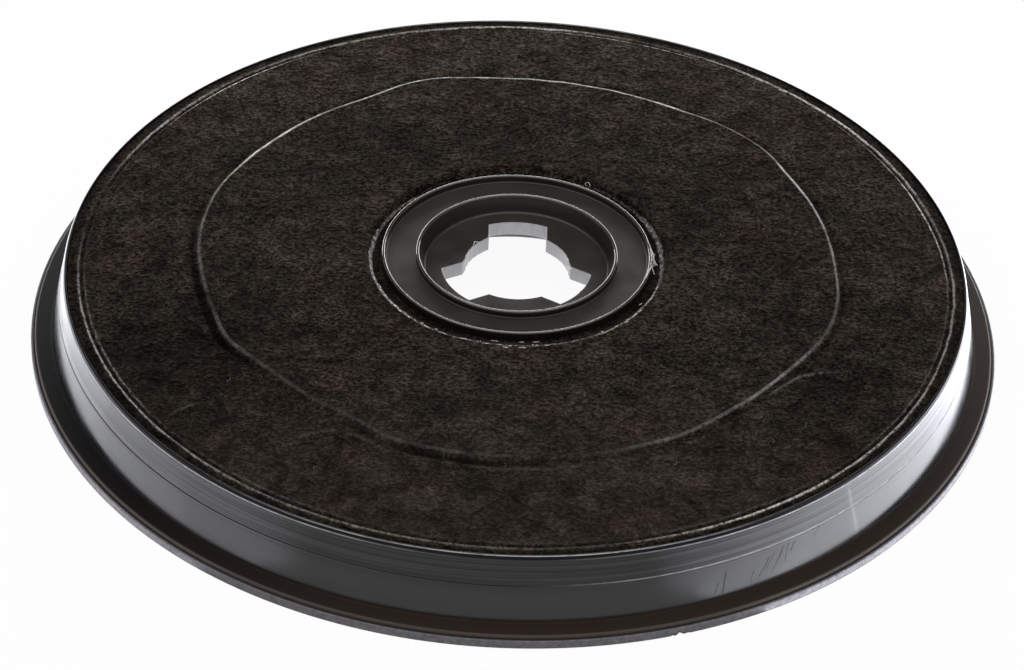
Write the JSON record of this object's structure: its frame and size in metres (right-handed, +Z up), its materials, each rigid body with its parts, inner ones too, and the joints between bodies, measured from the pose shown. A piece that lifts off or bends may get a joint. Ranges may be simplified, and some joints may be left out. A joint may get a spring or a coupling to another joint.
{
  "type": "cooker hood carbon filter",
  "caption": "Round twist-on charcoal filter for a cooker hood: black felt face, sloping plastic wall with a wide flange, bayonet hub and open grille underneath.",
  "frame": {"origin": "on the hub's axis, level with the surface that the filter rests on", "axes": "+Z up through the felt face along the hub's axis, +Y towards one of the three bayonet slots"},
  "size_m": [0.24, 0.24, 0.0229],
  "materials": {
    "base_plastic": "satin moulded black",
    "ring_plastic": "glossy moulded black with fine lines round the wall",
    "lower_felt_fibre": "needled black felt",
    "carbon_granules": "loose black charcoal granules",
    "upper_felt_fibre": "needled brownish black felt, heat sealed near its edges"
  },
  "bodies": {
    "root": {"base_grille": "base_plastic", "outer_ring": "ring_plastic", "lower_felt": "lower_felt_fibre", "carbon_bed": "carbon_granules", "upper_felt": "upper_felt_fibre"}
  },
  "joints": []
}
